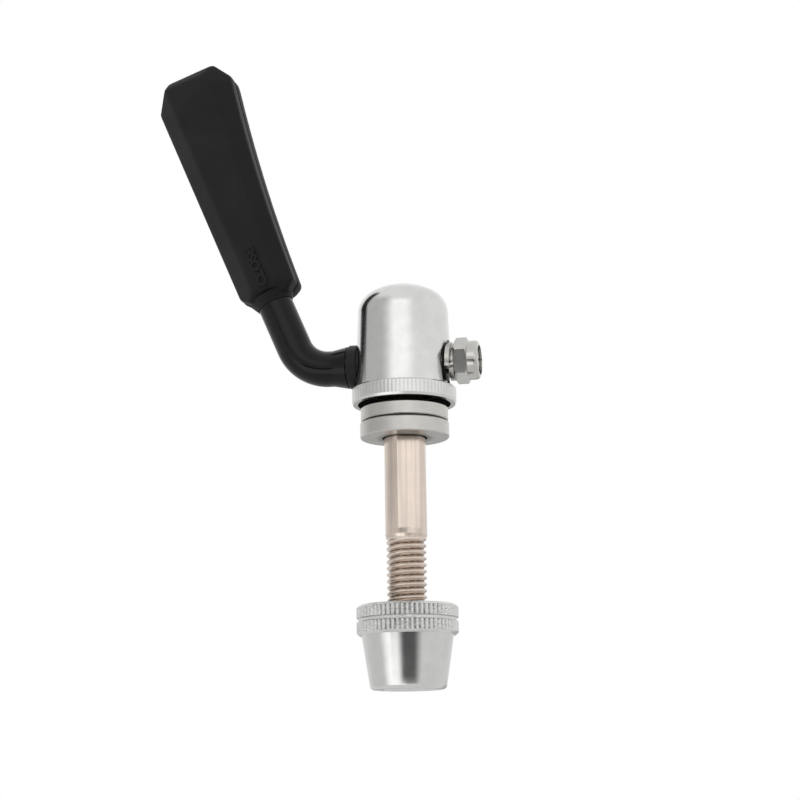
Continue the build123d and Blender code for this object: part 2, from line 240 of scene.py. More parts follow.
def clouded(recipe, cloud, first, second, edges=CLOUD_EDGES):
    """Two colours that drift into each other as a noise does."""
    return mixed(recipe, cloud.past(edges), first, second)


def darker(colour, share):
    """A share of a colour's brightness."""
    return tuple(channel * share for channel in colour)


print("material helpers ready")

# %% [markdown]
# ## Turned metal
# The housing, the cone nut and the washers are turned on a lathe, so their marks run round
# the bolt's axis: they change quickly along Z and hardly at all round it. A noise that is
# squeezed along Z gives them, once in the roughness and once, far fainter, in the relief.
# A painted texture would need an unwrapped mesh and would show its seam, and noise in
# space needs neither. A second, larger noise stands for the smears that wiping leaves.

# %% One function for all the metals
SMEARS_PER_MM = 0.35
SMEAR_SPREAD = 0.6  # of the tool marks' spread
SMEAR_SHADE = 0.93
STREAK_SHADE = 0.60
STREAK_EDGES = (0.40, 0.62)
LUMPS_PER_MM = 1.7
LUMP_ROUGHNESS = 0.08
# the colour that a metal is darkened to where shade is painted
PAINTED_SHADE_TONE = (0.012, 0.011, 0.010)
PAINTED_SHADE_ROUGHNESS = 0.4


def metal(
    name,
    colour,
    roughness,
    spread,
    marks,
    depth_mm,
    streaks=0.0,
    painted_shade=None,
    lumps=None,
    lump_depth_mm=0.0,
):
    """`marks` are tool marks per millimetre along X, Y and Z. The mask of painted shade says
    where the colour is darkened as shade, and `lumps` where the metal is lumpy.
    """

    def recipe_for(recipe):
        marked = noise(recipe, 1.0, detail=3.0, stretch=marks)
        smears = noise(recipe, SMEARS_PER_MM, detail=3.0, offset=(3, 1, 5))
        tone = clouded(recipe, smears, darker(colour, SMEAR_SHADE), colour)
        if streaks:
            share = marked.past(STREAK_EDGES) * streaks
            tone = mixed(recipe, share, tone, darker(colour, STREAK_SHADE))
        rough = about(about(roughness, marked, spread), smears, spread * SMEAR_SPREAD)
        relief = bumped(recipe, marked, depth_mm)
        if lumps:
            share = lumps(recipe)
            burrs = noise(recipe, LUMPS_PER_MM, detail=3.0, offset=(1, 7, 2)) * share
            relief = bumped(recipe, burrs, lump_depth_mm, relief)
            rough = rough + share * LUMP_ROUGHNESS
        # the colour is darkened here as painted shade, and made a little rougher
        if painted_shade:
            share = painted_shade(recipe)
            tone = mixed(recipe, share, tone, PAINTED_SHADE_TONE)
            rough = rough + share * PAINTED_SHADE_ROUGHNESS
        return {"Base Color": tone, "Roughness": rough, "Normal": relief}

    return finish(name, {"Metallic": 1.0}, recipe_for)


def from_axis(recipe):
    """Distance from the bolt's axis, in millimetres."""
    x, y = place(recipe, axis=0), place(recipe, axis=1)
    return x.math("SQRT", x * x + y * y)


print("metal ready")

# %% [markdown]
# ## The housing's plate
# The housing is bright plate on a turned body. Its flange is rolled, so it is a little lumpy.
# The cup under it and the bore are painted dark as shade, and the feet of the serrations a
# little darker. Painting such places by hand would tie them to one mesh. Masks that read a
# point's height and its distance from the axis find them on any mesh, and they fade over a short
# edge.

# %% Where the housing is painted dark as shade and where it is lumpy, and its finish
PLATE = (0.63, 0.63, 0.62)
ROUND_MARKS = (0.12, 0.12, 9.0)
BRIGHT = {
    "colour": PLATE,
    "roughness": 0.15,
    "spread": 0.06,
    "marks": ROUND_MARKS,
    "depth_mm": 0.0004,
}

# heights and radii in millimetres, each a pair over which a mask fades
RIM = box_mm("cam_housing")[0].z
CUP_WALL = (9.17, 9.27)
CUP_ROOF = (RIM + 2.8, RIM + 3.0)
BORE_WALL = (7.0, 7.1)
BORE_ROOF = (RIM + 19.7, RIM + 20.0)
FLANGE_WALL = (10.0, 10.15)
FLANGE_SHOULDER = (RIM + 3.35, RIM + 3.45)
SERRATION_FEET = (10.1, 10.2)
SERRATION_TIPS = (10.312, 10.345)
SERRATION_SHADE = 0.14


def housing_painted_shade(recipe):
    """Painted shade in the washer cup and up the bore, and a little between the serrations."""
    height, radius = place(recipe, axis=2), from_axis(recipe)
    cup = radius.short_of(CUP_WALL) * height.short_of(CUP_ROOF)
    bore = radius.short_of(BORE_WALL) * height.short_of(BORE_ROOF)
    grooves = radius.past(SERRATION_FEET) * radius.short_of(SERRATION_TIPS, SERRATION_SHADE)
    grooves = grooves * height.between(RIM + 0.8, RIM + 3.1)
    return cup.math("MAXIMUM", cup, bore) + grooves


def flange_lumps(recipe):
    """The outside of the flange, up to its shoulder."""
    height, radius = place(recipe, axis=2), from_axis(recipe)
    return radius.past(FLANGE_WALL) * height.short_of(FLANGE_SHOULDER)


housing_plate = metal(
    "housing_plate", **BRIGHT, painted_shade=housing_painted_shade, lumps=flange_lumps, lump_depth_mm=0.012
)
print("housing_plate", "rim at", round(RIM, 2), "mm")

# %% [markdown]
# ## The cone nut's plate
# The cone nut has the same plate. Its two knurled rows are pressed in by a wheel, which throws
# the metal up in rough crests, and the feet of the knurls are painted darker in patches, as
# shade. Modelling each burr would take thousands of faces. A strong lumpy relief over the rows
# and a patchy mask of painted shade between the crests show them, and the cone stays smooth.

# %% Where the cone nut is painted darker as shade and where it is lumpy, and its finish
NUT_TOP = box_mm("adjusting_nut")[1].z
LOWER_ROW = (NUT_TOP - 5.3, NUT_TOP - 3.3)
UPPER_ROW = (NUT_TOP - 2.5, NUT_TOP - 0.6)
KNURL_FEET = (9.56, 9.80)
ROUGH_WALL = (9.2, 9.4)
ROUGH_FOOT = (NUT_TOP - 5.8, NUT_TOP - 5.6)
PATCHES_PER_MM = 0.5
PATCH_EDGES = (0.35, 0.65)
PATCH_SHARES = (0.04, 0.36)


def knurl_painted_shade(recipe):
    """Painted shade at the foot of each knurl, in patches."""
    height = place(recipe, axis=2)
    rows = height.between(*LOWER_ROW) + height.between(*UPPER_ROW)
    patches = noise(recipe, PATCHES_PER_MM, detail=3.0, offset=(4, 0, 1))
    share = patches.ramp(*PATCH_EDGES, *PATCH_SHARES)
    return from_axis(recipe).short_of(KNURL_FEET) * rows * share


def knurl_lumps(recipe):
    """The outside of both rows."""
    return from_axis(recipe).past(ROUGH_WALL) * place(recipe, axis=2).past(ROUGH_FOOT)


nut_plate = metal("nut_plate", **BRIGHT, painted_shade=knurl_painted_shade, lumps=knurl_lumps, lump_depth_mm=0.10)
print("nut_plate", "top at", round(NUT_TOP, 2), "mm")

# %% [markdown]
# ## Washers and lock nut
# The washers are plain turned steel, duller and greyer than plate, and a dark ring of painted
# shade lies round the lower one's hole, on its underside. The lock nut is zinc plated, and it is
# turned about the lever's shaft, so its marks are squeezed along X and not along Z. Such marks
# are finer than any mesh, so both steels come from the same function as the plate.

# %% Washer steel and nut steel
SHADED_RING = (4.5, 6.4)
RING_SHADE = 0.5
UNDERSIDE = (0.02, 0.12)


def washer_painted_shade(recipe):
    """A dark ring of painted shade round the lower washer's hole, on its underside."""
    ring = from_axis(recipe).short_of(SHADED_RING, RING_SHADE)
    return ring * place(recipe, axis=2).short_of(UNDERSIDE)


washer_steel = metal(
    "washer_steel",
    colour=(0.525, 0.51, 0.485),
    roughness=0.30,
    spread=0.14,
    marks=(0.35, 0.35, 6.0),
    depth_mm=0.0022,
    streaks=0.12,
    painted_shade=washer_painted_shade,
)
nut_steel = metal(
    "nut_steel",
    colour=(0.49, 0.485, 0.465),
    roughness=0.16,
    spread=0.06,
    marks=(5.0, 0.12, 0.12),
    depth_mm=0.0006,
)
print("steels", washer_steel.name, nut_steel.name)

# %% [markdown]
# ## The bolt's warm plate
# The bolt is forged with its eye, finished along its shank and plated with nickel, so it is
# warmer in colour and has faint marks along it. Just under its milled flat, a dark patch is
# painted on the front side as shade. Its thread is rolled, which lays the marks round the axis,
# and its roots are painted darker as shade. The thread is a mesh of its own, so two finishes of
# one colour, each with its own marks and painted shade, are simpler than one that would have to
# switch between them.

# %% Bolt plate and thread plate
BOLT = (0.67, 0.575, 0.505)
LONG_MARKS = (1.5, 1.5, 0.03)
SHADE_SPOT_SHARE = 0.42
SHADE_SPOT_ACROSS = (-0.3, 0.7)
SHADE_SPOT_HEIGHTS = (-19.0, -18.5)
SHADE_SPOT_FRONT = (-0.1, 0.0)
SHADE_SPOT_SOFT_ACROSS = 0.8
SHADE_SPOT_SOFT_ALONG = 0.5
RAGS_PER_MM = 0.9
RAGGED_ALONG = 0.7
THREAD_ROOTS = (3.24, 3.5)
THREAD_SHADE_SHARE = 0.62


def flat_end_painted_shade(recipe):
    """Painted shade on the round just under the milled flat, on its front side."""
    x, y, height = (place(recipe, axis=axis) for axis in range(3))
    edge = noise(recipe, RAGS_PER_MM, offset=(2, 5, 1)) - 0.5
    across = (x + edge).between(*SHADE_SPOT_ACROSS, SHADE_SPOT_SOFT_ACROSS)
    along = (height + edge * RAGGED_ALONG).between(*SHADE_SPOT_HEIGHTS, SHADE_SPOT_SOFT_ALONG)
    return across * along * y.short_of(SHADE_SPOT_FRONT) * SHADE_SPOT_SHARE


def thread_root_shade(recipe):
    """Painted shade at the bottom of a thread."""
    return from_axis(recipe).short_of(THREAD_ROOTS, THREAD_SHADE_SHARE)


bolt_plate = metal(
    "bolt_plate",
    colour=BOLT,
    roughness=0.18,
    spread=0.12,
    marks=LONG_MARKS,
    depth_mm=0.012,
    streaks=0.35,
    painted_shade=flat_end_painted_shade,
)
thread_plate = metal(
    "thread_plate",
    colour=BOLT,
    roughness=0.24,
    spread=0.10,
    marks=ROUND_MARKS,
    depth_mm=0.001,
    painted_shade=thread_root_shade,
)
print("bolt", bolt_plate.name, thread_plate.name)

# %% [markdown]
# ## Black paint
# The rod is dipped and baked, so it has a smooth skin with a faint orange peel. The stud
# at the shaft's other end is the same bar of steel, but it is left bare, because paint
# would clog its thread. Two materials on the mesh would need its faces sorted, so one
# does both, and turns from paint to steel beyond the lock washer.

# %% Arm paint
BARE_STUD = box_mm("lock_washer")[0].x + 0.03
PAINT_TONES = ((0.0022, 0.0022, 0.0022), (0.0045, 0.0045, 0.0043))
STUD_TONES = ((0.42, 0.41, 0.39), (0.50, 0.49, 0.47))
PAINT_ROUGHNESS = 0.13
PEEL_PER_MM = 1.6
PEEL_DEPTH_MM = 0.004
SCUFFS_PER_MM = 0.4
SCUFF_EDGES = (0.35, 0.75)
SCUFF_SPREAD = 0.10


def arm_paint_recipe(recipe):
    scuffs = noise(recipe, SCUFFS_PER_MM, detail=4.0)
    bare = place(recipe, axis=0).over(BARE_STUD)
    paint = clouded(recipe, scuffs, *PAINT_TONES, edges=SCUFF_EDGES)
    steel = clouded(recipe, scuffs, *STUD_TONES, edges=SCUFF_EDGES)
    return {
        "Base Color": mixed(recipe, bare, paint, steel),
        "Metallic": bare,
        "Roughness": about(PAINT_ROUGHNESS, scuffs, SCUFF_SPREAD),
        "Normal": bumped(recipe, noise(recipe, PEEL_PER_MM), PEEL_DEPTH_MM),
    }


arm_paint = finish("arm_paint", {"Specular IOR Level": 0.21}, arm_paint_recipe)
print("arm_paint", "bare past", round(BARE_STUD, 2), "mm")

# %% [markdown]
# ## The grip's plastic
# The grip is moulded plastic with a fine spark-eroded grain, which scatters light and
# looks matte, and handling leaves it a little glossier in places. No mesh could be as fine
# as the grain, so a fine noise gives its relief, and a broad one shows the handling.

# %% Grip plastic
GRIP_TONES = ((0.0075, 0.0075, 0.0075), (0.0115, 0.0115, 0.011))
GRIP_ROUGHNESS = 0.58
GRAIN_PER_MM = 9.0
GRAIN_SPREAD = 0.10
GRAIN_DEPTH_MM = 0.010
HANDLING_PER_MM = 0.12
HANDLING_SPREAD = 0.12


def grip_plastic_recipe(recipe):
    grain = noise(recipe, GRAIN_PER_MM)
    handling = noise(recipe, HANDLING_PER_MM, detail=3.0)
    rough = about(about(GRIP_ROUGHNESS, grain, GRAIN_SPREAD), handling, HANDLING_SPREAD)
    return {
        "Base Color": clouded(recipe, handling, *GRIP_TONES),
        "Roughness": rough,
        "Normal": bumped(recipe, grain, GRAIN_DEPTH_MM),
    }


grip_plastic = finish("grip_plastic", {"Specular IOR Level": 0.17}, grip_plastic_recipe)
print("grip_plastic", GRAIN_PER_MM, "grains per mm")

# %% [markdown]
# ## Bushes and nylon ring
# The bushes come smoother out of their mould than the grip, and the nylon ring in the lock
# nut is dull and slightly cloudy. They are small and half hidden, so one noise each, in
# the colour and in the roughness together, is enough.

# %% Bush plastic and nylon
BUSH_TONES = ((0.005, 0.005, 0.005), (0.011, 0.011, 0.011))
BUSH_ROUGHNESS = 0.42
BUSH_GRAIN_PER_MM = 4.0
BUSH_GRAIN_DEPTH_MM = 0.006
NYLON_TONES = ((0.020, 0.021, 0.023), (0.035, 0.036, 0.040))
NYLON_ROUGHNESS = 0.45
NYLON_CLOUDS_PER_MM = 1.5
SMALL_SPREAD = 0.1


def bush_plastic_recipe(recipe):
    grain = noise(recipe, BUSH_GRAIN_PER_MM)
    return {
        "Base Color": clouded(recipe, grain, *BUSH_TONES),
        "Roughness": about(BUSH_ROUGHNESS, grain, SMALL_SPREAD),
        "Normal": bumped(recipe, grain, BUSH_GRAIN_DEPTH_MM),
    }


def nylon_recipe(recipe):
    cloud = noise(recipe, NYLON_CLOUDS_PER_MM)
    return {
        "Base Color": clouded(recipe, cloud, *NYLON_TONES),
        "Roughness": about(NYLON_ROUGHNESS, cloud, SMALL_SPREAD),
    }


bush_plastic = finish("bush_plastic", {"Specular IOR Level": 0.2}, bush_plastic_recipe)
insert_nylon = finish("insert_nylon", {}, nylon_recipe)
print("plastics", bush_plastic.name, insert_nylon.name)

# %% [markdown]
# ## Pieces on their bodies
# Each new piece rides on a CAD body, so that it moves with it. A table says which of the
# record's slots each finish stands for, and a piece's finish is looked up in it. Two of the
# slots have two finishes each, since the plate on the nut has its own painted shade and lumps,
# apart from the housing's, and the thread differs from the shank.

# %% A piece and its body, and the slots that the finishes stand for
SLOTS = {
    "bright_plate": (nut_plate, housing_plate),
    "washer_steel": (washer_steel,),
    "nut_steel": (nut_steel,),
    "bolt_plate": (bolt_plate, thread_plate),
    "arm_paint": (arm_paint,),
    "grip_plastic": (grip_plastic,),
    "bush_plastic": (bush_plastic,),
    "insert_nylon": (insert_nylon,),
}


def slot_of(material):
    return next(slot for slot, finishes in SLOTS.items() if material in finishes)


def put_in_scene(name, data):
    thing = bpy.data.objects.new(name, data)
    scene.collection.objects.link(thing)
    return thing


def add_piece(mesh, name, body, material):
    mesh.materials.clear()
    mesh.materials.append(material)
    piece = put_in_scene(name, mesh)
    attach(piece, body)
    slot_of(material)
    return piece


print("slots", sorted(SLOTS))

# %% [markdown]
# ## Smooth copies of the CAD pieces
# A CAD piece arrives as loose triangles, each with its own corners, and that would show
# every facet in a bright finish. A copy with its corners merged can be shaded smoothly,
# as long as the real edges, where two faces meet at an angle, are marked sharp.

# %% Merge, smooth and keep the edges
MERGE_DISTANCE = 0.0008 * MM
SLIVER_WIDTH = 0.0004 * MM
PLAIN_EDGE = 25  # degrees between two faces, from which their edge stays sharp
FINE_EDGE = 14  # the same, for shallow serrations, knurls and flats


def merged_copy(node, name):
    mesh = nodes[node].data.copy()
    mesh.name = name
    work = bmesh.new()
    work.from_mesh(mesh)
    bmesh.ops.remove_doubles(work, verts=work.verts, dist=MERGE_DISTANCE)
    bmesh.ops.dissolve_degenerate(work, dist=SLIVER_WIDTH, edges=work.edges)
    work.to_mesh(mesh)
    work.free()
    # the loaded normals were averaged over every edge, so they go
    if "custom_normal" in mesh.attributes:
        mesh.attributes.remove(mesh.attributes["custom_normal"])
    return mesh


def smooth(mesh, sharp_degrees):
    mesh.shade_smooth()
    mesh.set_sharp_from_angle(angle=math.radians(sharp_degrees))
    return mesh


def dress(node, material, body, sharp_degrees=PLAIN_EDGE, reshape=None):
    """A smooth copy of a CAD node, reshaped if asked, that is shown in its place."""
    name = node + "_dressed"
    mesh = merged_copy(node, name)
    if reshape:
        reshape(mesh)
    piece = add_piece(smooth(mesh, sharp_degrees), name, body, material)
    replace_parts(piece, node)
    print(name, len(mesh.polygons), "faces")


print("dress ready")

# %% [markdown]
# ## The domed housing
# The housing is the biggest bright piece. Its serrations are pressed more lightly than the
# CAD solid's, and its rim stands a little higher over the washers. The copy's own points
# are moved for that: those between two tips go most of the way out to the tips' radius,
# and those of the rim go up. A new mesh would need its bore and its holes cut again.

# %% Lighter serrations and a higher rim
FLANGE_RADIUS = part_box("cam_housing")[1].x
SERRATION_SHARE = 0.35
SERRATION_REACH = 10.18 * MM
SERRATION_FOOT = (RIM + 0.4) * MM
SERRATION_HEAD = (RIM + 3.3) * MM
RIM_HEAD = (RIM + 0.6) * MM
RIM_CLEARANCE = 0.25 * MM


def soften_serrations(mesh):
    for vertex in mesh.vertices:
        spot = vertex.co
        radius = math.hypot(spot.x, spot.y)
        serrated = SERRATION_FOOT < spot.z < SERRATION_HEAD
        if serrated and SERRATION_REACH < radius < FLANGE_RADIUS:
            grown = FLANGE_RADIUS - (FLANGE_RADIUS - radius) * SERRATION_SHARE
            spot.x *= grown / radius
            spot.y *= grown / radius
        if spot.z < RIM_HEAD:
            spot.z += RIM_CLEARANCE


dress("cam_housing", housing_plate, "housing", FINE_EDGE, soften_serrations)

# %% [markdown]
# ## Nut, washers, bushes and rod
# These pieces have the right shape already, and only need smooth shading and a finish.
# Like the housing's serrations, the cone nut's knurls have shallow flanks, so its edges
# stay sharp from a smaller angle than those of the others.

# %% Dress the pieces that keep their shape
dress("adjusting_nut", nut_plate, "nut", FINE_EDGE)
plain_pieces = (
    ("upper_washer", washer_steel, "washers"),
    ("lower_washer", washer_steel, "washers"),
    ("lock_washer", washer_steel, "lever"),
    ("lock_nut", nut_steel, "lever"),
    ("lock_nut_insert", insert_nylon, "lever"),
    ("lever_bush", bush_plastic, "housing"),
    ("stud_bush", bush_plastic, "housing"),
    ("lever_arm", arm_paint, "lever"),
)
for node, material, body in plain_pieces:
    dress(node, material, body)

# %% [markdown]
# ## The bolt's shank and eye
# The CAD bolt has a plain cylinder where its thread is. A thread laid round that cylinder
# would bury its roots in it, so the copy is cut off at the thread's top, with a short
# overlap, and a threaded piece of the right depth follows further on.

# %% Cut the plain cylinder off the bolt
THREAD_TOP = -19.9 * MM
THREAD_OVERLAP = 0.05 * MM


def cut_off_thread(mesh):
    """Keeps what is above the thread and closes the cut."""
    work = bmesh.new()
    work.from_mesh(mesh)
    cut = bmesh.ops.bisect_plane(
        work,
        geom=[*work.verts, *work.edges, *work.faces],
        plane_co=(0, 0, THREAD_TOP - THREAD_OVERLAP),
        plane_no=(0, 0, -1),
        clear_outer=True,
    )
    rim = [item for item in cut["geom_cut"] if isinstance(item, bmesh.types.BMEdge)]
    bmesh.ops.holes_fill(work, edges=rim)
    work.to_mesh(mesh)
    work.free()


dress("draw_bolt", bolt_plate, "draw_bolt", FINE_EDGE, cut_off_thread)

# %% [markdown]
# ## The moulded grip
# Moulded plastic has no crisp edge anywhere. A bevel needs clean edges, and the CAD
# shells have long thin faces. So each shell is skinned again with small even faces, and
# the skin is then relaxed, which rounds every edge, also along the parting line.

# %% Relax the two grip shells
GRIP_CELL = 0.30 * MM
GRIP_ROUNDS = 14
GRIP_EASE = 0.5


def plain_mesh(holder, name):
    """What an object comes to with its modifiers. The object itself is removed."""
    evaluated = holder.evaluated_get(bpy.context.evaluated_depsgraph_get())
    mesh = bpy.data.meshes.new_from_object(evaluated)
    mesh.name = name
    bpy.data.objects.remove(holder)
    return mesh


def relaxed(mesh):
    holder = put_in_scene("holder", mesh)
    skin = holder.modifiers.new("skin", "REMESH")
    skin.mode = "VOXEL"
    skin.voxel_size = GRIP_CELL
    ease = holder.modifiers.new("ease", "SMOOTH")
    ease.factor = GRIP_EASE
    ease.iterations = GRIP_ROUNDS
    return plain_mesh(holder, mesh.name)


for node in ("grip_front_shell", "grip_rear_shell"):
    name = node + "_dressed"
    shell_mesh = relaxed(merged_copy(node, name))
    shell_mesh.shade_smooth()
    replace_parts(add_piece(shell_mesh, name, "lever", grip_plastic), node)
    print(name, len(shell_mesh.polygons), "faces")

# %% [markdown]
# ## The bolt's thread
# A rolled M8 thread follows a rule, so Geometry Nodes make it. Sweeping a profile along a
# helix leaves ends to patch. Pressing the thread into a dense cylinder leaves none: how
# far a point lies down a groove depends only on its height and its angle round the axis,
# since a turn of the screw is the same as a rise of one pitch.

# %% A Geometry Nodes tree, opened, closed and run


def open_group(name, sockets):
    """A tree with named inputs, its recipe, and a wire for each input."""
    tree = bpy.data.node_groups.new(name, "GeometryNodeTree")
    for label, kind in sockets.items():
        tree.interface.new_socket(name=label, in_out="INPUT", socket_type=kind)
    tree.interface.new_socket(
        name="Geometry", in_out="OUTPUT", socket_type="NodeSocketGeometry"
    )
    given = tree.nodes.new("NodeGroupInput")
    return tree, Recipe(tree), {label: Wire(tree, given.outputs[label]) for label in sockets}


def close_group(recipe, geometry, material):
    """Realize Instances, Set Material and the output, last in every tree."""
    real = recipe.node("GeometryNodeRealizeInstances", None, {"Geometry": geometry})
    coated = {"Geometry": real, "Material": material}
    final = recipe.node("GeometryNodeSetMaterial", None, coated)
    out = recipe.tree.nodes.new("NodeGroupOutput")
    recipe.tree.links.new(final.socket, out.inputs["Geometry"])


def run_tree(tree, values, name):
    """Runs a tree once on an empty mesh and keeps the result as a plain mesh."""
    holder = put_in_scene("holder", bpy.data.meshes.new("holder"))
    modifier = holder.modifiers.new("nodes", "NODES")
    modifier.node_group = tree
    for item in tree.interface.items_tree:
        if item.in_out == "INPUT":
            modifier[item.identifier] = values[item.name]
    return plain_mesh(holder, name)


print("node group helpers ready")

# %% The thread's tree
THREAD_SIDES = 96
ROWS_PER_PITCH = 14
VALLEY_POWER = 1.5  # over 1, so that the crests are rounder than the roots


def thread_tree():
    sizes = ("Top", "Foot", "Crest Radius", "Depth", "Pitch", "Start", "Run In", "Chamfer")
    sockets = {label: "NodeSocketFloat" for label in sizes}
    sockets["Material"] = "NodeSocketMaterial"
    tree, recipe, given = open_group("screw_thread", sockets)
    top, foot, crest = given["Top"], given["Foot"], given["Crest Radius"]
    length = top - foot
    cylinder_inputs = {
        "Vertices": THREAD_SIDES,
        "Side Segments": length / given["Pitch"] * ROWS_PER_PITCH,
        "Radius": crest,
        "Depth": length,
    }
    cylinder = recipe.node(
        "GeometryNodeMeshCylinder", {"fill_type": "NGON"}, cylinder_inputs, output="Mesh"
    )
    spot = recipe.node("GeometryNodeInputPosition")
    x, y, z = (
        recipe.node("ShaderNodeSeparateXYZ", None, {0: spot}, output=axis) for axis in range(3)
    )
    height = z + (top + foot) * 0.5
    turn = x.math("ARCTAN2", y, x) / math.tau
    phase = x.math("FRACT", height / given["Pitch"] - turn + given["Start"])
    valley = x.math("ABSOLUTE", phase * 2 - 1) ** VALLEY_POWER
    run_in = (top - height).ramp(0.0, given["Run In"])
    radius = crest - valley * given["Depth"] * run_in
    chamfered = crest - given["Chamfer"] + (height - foot)
    share = radius.math("MINIMUM", radius, chamfered) / crest
    moved = recipe.node("ShaderNodeCombineXYZ", None, {0: x * share, 1: y * share, 2: height})
    pressed = {"Geometry": cylinder, "Position": moved}
    cut = recipe.node("GeometryNodeSetPosition", None, pressed)
    close_group(recipe, cut, given["Material"])
    return tree


screw_thread = thread_tree()
print("screw_thread", len(screw_thread.nodes), "nodes")

# %% The M8 thread, from the shank to the bolt's end
THREAD_EDGE = 50  # degrees
thread_values = {
    "Top": THREAD_TOP,
    "Foot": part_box("draw_bolt")[0].z,
    "Crest Radius": 3.93 * MM,
    "Depth": 0.70 * MM,
    "Pitch": 1.25 * MM,
    "Start": 0.62,
    "Run In": 0.5 * MM,
    "Chamfer": 1.0 * MM,
    "Material": thread_plate,
}
thread_mesh = smooth(run_tree(screw_thread, thread_values, "bolt_thread"), THREAD_EDGE)
add_piece(thread_mesh, "bolt_thread", "draw_bolt", thread_plate)
print("bolt_thread", len(thread_mesh.polygons), "faces")

# %% [markdown]
# ## Lettering
# One plain word stands on the handle's broad face, as on such levers: it tells which way
# the lever goes. It is moulded with the grip, so it is real relief and not a print. A text
# object gives the letters. They are scaled once they are a mesh, because the size that a
# text is given isn't the height of its capitals.

# %% The word as a mesh
WORD_LENGTH = 8.9 * MM
WORD_HEIGHT = 2.2 * MM
WORD_PROUD = 0.30 * MM
WORD_DEPTH = 3 * WORD_PROUD  # two thirds of it are sunk in the plastic
STROKE_DEPTH = 0.12  # a share of the letters' own size, as the next two are
STROKE_SWELL = 0.045
STROKE_BEVEL = 0.02
BEVEL_STEPS = 2
CURVE_STEPS = 8


def word_mesh(word, name):
    """A word as a mesh, its middle at the origin, its face at z = 0."""
    text = bpy.data.curves.new(name, "FONT")
    text.body = word
    text.align_x = "CENTER"
    text.align_y = "CENTER"
    text.extrude = STROKE_DEPTH
    text.offset = STROKE_SWELL
    text.bevel_depth = STROKE_BEVEL
    text.bevel_resolution = BEVEL_STEPS
    text.resolution_u = CURVE_STEPS
    mesh = plain_mesh(put_in_scene("holder", text), name)
    columns = list(zip(*(vertex.co for vertex in mesh.vertices)))
    low, high = Vector(map(min, columns)), Vector(map(max, columns))
    size = high - low
    middle = Vector(((low.x + high.x) / 2, (low.y + high.y) / 2, high.z))
    scale = (WORD_LENGTH / size.x, WORD_HEIGHT / size.y, WORD_DEPTH / size.z, 1)
    mesh.transform(Matrix.Diagonal(scale) @ Matrix.Translation(-middle))
    return mesh


word = word_mesh("CLOSE", "grip_word")
print("word", len(word.vertices), "points")

# %% [markdown]
# ## Where the word stands
# The handle leans back from the bolt, and its broad face is tilted against the parting
# plane. Places on the grip are easiest to give as the mould maker does: across the
# handle, along it from its foot, and out of the parting plane towards the front. Three
# corners of the broad face give its normal, and the word is laid on that plane.

# %% Lay the word on the broad face
lever_turn = next(joint for joint in frame["joints"] if joint["name"] == "lever_turn")
BEND_CORNER = 20.4 * MM  # bolt's axis to where the rod's two straight runs would meet
HANDLE_FOOT = Vector((-BEND_CORNER, 0, lever_turn["pos_m"][2]))
LEAN = math.radians(23.2)
ACROSS = Vector((math.cos(LEAN), 0, math.sin(LEAN)))
ALONG = Vector((-math.sin(LEAN), 0, math.cos(LEAN)))
TOWARD = Vector((0, -1, 0))
# left foot, left top and right foot, in millimetres across, along and towards the front
BROAD_FACE = ((-2.6, 15.3, 4.6), (-3.1, 70.0, 4.6), (2.5, 15.3, 4.85))
WORD_MIDDLE = (0.15, 22.8)
WORD_EDGE = 40  # degrees


def on_grip(across, along, depth):
    """A point on the grip, from millimetres across, along and out of the parting plane."""
    return HANDLE_FOOT + (ACROSS * across + ALONG * along + TOWARD * depth) * MM


left_foot, left_top, right_foot = (on_grip(*corner) for corner in BROAD_FACE)
face_normal = (left_top - left_foot).cross(right_foot - left_foot).normalized()
if face_normal.dot(TOWARD) < 0:
    face_normal.negate()
middle = on_grip(*WORD_MIDDLE, 0)
lift = (left_foot - middle).dot(face_normal) / TOWARD.dot(face_normal)
word_place = middle + TOWARD * lift + face_normal * WORD_PROUD
word_up = (-ACROSS + face_normal * ACROSS.dot(face_normal)).normalized()
word_along = word_up.cross(face_normal)
word_axes = Matrix((word_along, word_up, face_normal)).transposed().to_4x4()
word.transform(Matrix.Translation(word_place) @ word_axes)
add_piece(smooth(word, WORD_EDGE), "grip_word", "lever", grip_plastic)
print("grip_word", len(word.polygons), "faces")

# %% [markdown]
# ## The grip's mouth
# At its foot the grip closes round the rod with a short tapered lip. It could be a curve
# with a profile, but a ring is as quick to write out, and its size is exact: the four
# corners of its section are turned round the handle's axis, and each is joined with the
# next.

# %% The lip round the rod
LIP_SECTION = ((3.63, 15.3), (3.72, 15.2), (4.75, 17.1), (3.63, 17.4))
LIP_SIDES = 72
LIP_EDGE = 30  # degrees


def lip_ring(work, angle):
    """The section's corners, each a radius and a place along the handle, at one angle."""
    aside, forward = math.cos(angle), math.sin(angle)
    spots = [on_grip(radius * aside, along, radius * forward) for radius, along in LIP_SECTION]
    return [work.verts.new(spot) for spot in spots]


lip = bpy.data.meshes.new("grip_lip")
work = bmesh.new()
rings = [lip_ring(work, math.tau * side / LIP_SIDES) for side in range(LIP_SIDES)]
for here, there in zip(rings, rings[1:] + rings[:1]):
    for corner in range(len(LIP_SECTION)):
        after = (corner + 1) % len(LIP_SECTION)
        work.faces.new((here[corner], there[corner], there[after], here[after]))
bmesh.ops.recalc_face_normals(work, faces=work.faces)
work.to_mesh(lip)
work.free()
add_piece(smooth(lip, LIP_EDGE), "grip_lip", "lever", grip_plastic)
print("grip_lip", len(lip.polygons), "faces")

# %% [markdown]
# ## Camera
# The camera stands a little below the lever and to its right, so that the underside of the
# nut and the nut side of the housing show. A long lens keeps the bolt nearly parallel. Its
# matrix is built from three axes, which says more plainly than Euler angles where it looks.

# %% Camera place and aim
CAMERA_DISTANCE = 0.33708  # metres from the bolt's axis
CAMERA_HEIGHT = -0.06682
CAMERA_TURN = 0.2001  # radians from -Y towards +X, and the aim is in radians too
AIM_TURN = 0.2026
AIM_RISE = 0.2178
AIM_ROLL = -0.0147
LENS_MM = 78.35
SENSOR_MM = 36
CLIP = (0.01, 20)


